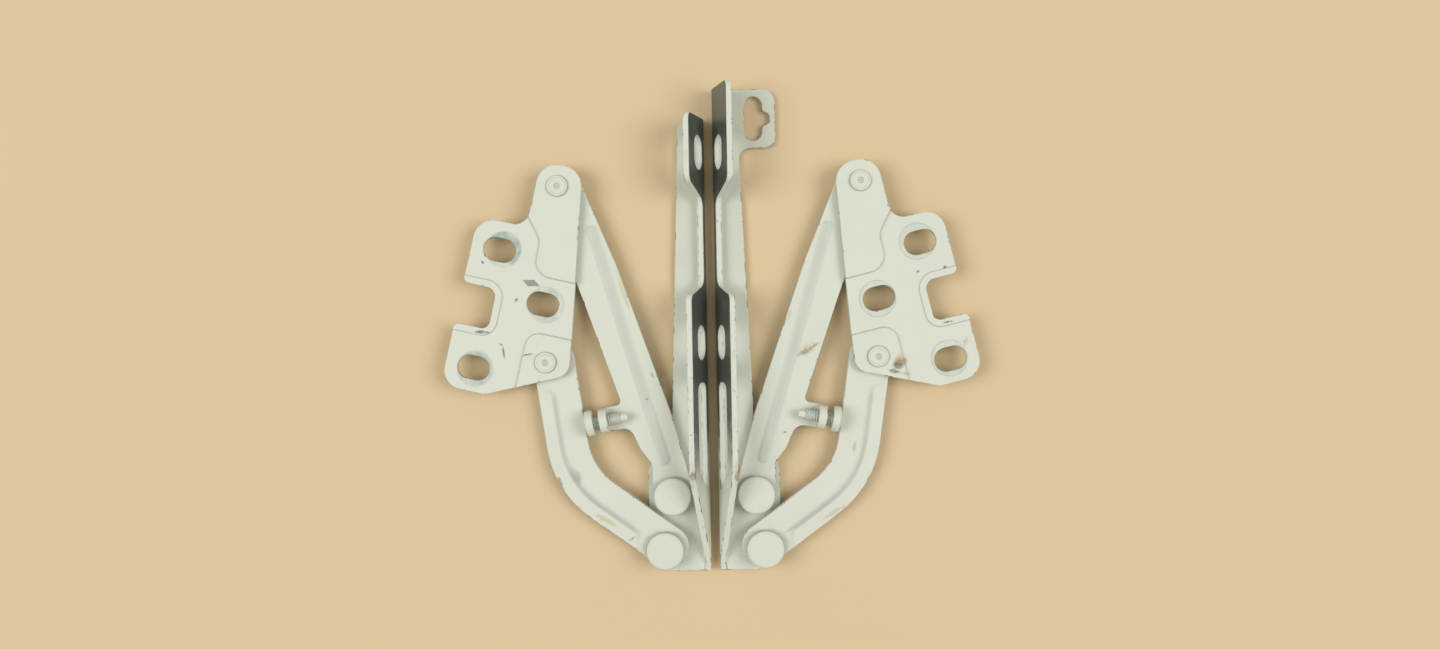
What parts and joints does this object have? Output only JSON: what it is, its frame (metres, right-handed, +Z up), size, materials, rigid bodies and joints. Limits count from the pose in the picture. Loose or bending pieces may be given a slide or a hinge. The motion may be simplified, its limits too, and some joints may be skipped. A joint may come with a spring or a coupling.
{
  "type": "bonnet hinge pair",
  "caption": "Handed pair of four-bar bonnet hinges: slotted body plate, straight and curved arms on shouldered rivets, folded bonnet bracket and a screw stop.",
  "frame": {"origin": "on the bench under the middle of the pair, between the two bonnet brackets", "axes": "+X from the left hinge to the right one, +Y from the brackets' feet to their upper ends, +Z up from the bench"},
  "size_m": [0.2686, 0.2442, 0.026],
  "materials": {
    "paint": "satin pale grey body paint, worn at the edges",
    "bush": "dull bush bronze"
  },
  "bodies": {
    "bonnet_brackets": {"left_bonnet_bracket": "paint", "left_rivet_b": "paint", "left_rivet_d": "paint", "right_bonnet_bracket": "paint", "right_rivet_b": "paint", "right_rivet_d": "paint"},
    "left_long": {"left_long_arm": "paint", "left_bush_a": "bush", "left_bush_b": "bush"},
    "left_plate": {"left_body_plate": "paint", "left_rivet_a": "paint", "left_rivet_c": "paint", "left_bush_c": "bush"},
    "left_curved": {"left_curved_arm": "paint", "left_bush_d": "bush"},
    "left_stop": {"left_stop_bolt": "paint"},
    "right_long": {"right_long_arm": "paint", "right_bush_a": "bush", "right_bush_b": "bush"},
    "right_plate": {"right_body_plate": "paint", "right_rivet_a": "paint", "right_rivet_c": "paint", "right_bush_c": "bush"},
    "right_curved": {"right_curved_arm": "paint", "right_bush_d": "bush"},
    "right_stop": {"right_stop_bolt": "paint"}
  },
  "joints": [
    {"name": "left_fold", "type": "hinge", "parent": "bonnet_brackets", "child": "left_long", "pos_m": [-0.021, -0.083, 0.0061], "axis": [0, 0, 1], "range_deg": [0, 70.7]},
    {"name": "left_plate_swing", "type": "hinge", "parent": "left_long", "child": "left_plate", "pos_m": [-0.0758, 0.0735, 0.0061], "axis": [0, 0, -1], "range_deg": [0, 25.8]},
    {"name": "left_curved_swing", "type": "hinge", "parent": "bonnet_brackets", "child": "left_curved", "pos_m": [-0.0252, -0.1103, 0.0061], "axis": [0, 0, 1], "range_deg": [0, 79.9]},
    {"name": "left_stop_adjust", "type": "slide", "parent": "left_long", "child": "left_stop", "axis": [0.9857, 0.1685, 0], "range_m": [0, 0.003]},
    {"name": "right_fold", "type": "hinge", "parent": "bonnet_brackets", "child": "right_long", "pos_m": [0.021, -0.083, 0.0061], "axis": [0, 0, -1], "range_deg": [0, 70.7]},
    {"name": "right_plate_swing", "type": "hinge", "parent": "right_long", "child": "right_plate", "pos_m": [0.0758, 0.0735, 0.0061], "axis": [0, 0, 1], "range_deg": [0, 25.8]},
    {"name": "right_curved_swing", "type": "hinge", "parent": "bonnet_brackets", "child": "right_curved", "pos_m": [0.0252, -0.1103, 0.0061], "axis": [0, 0, -1], "range_deg": [0, 79.9]},
    {"name": "right_stop_adjust", "type": "slide", "parent": "right_long", "child": "right_stop", "axis": [-0.9857, 0.1685, 0], "range_m": [0, 0.003]}
  ],
  "couplings": [
    {"joint": "left_plate_swing", "follows": "left_fold", "ratio": 0.36411},
    {"joint": "left_curved_swing", "follows": "left_fold", "ratio": 1.1296},
    {"joint": "right_plate_swing", "follows": "right_fold", "ratio": 0.36411},
    {"joint": "right_curved_swing", "follows": "right_fold", "ratio": 1.1296}
  ]
}
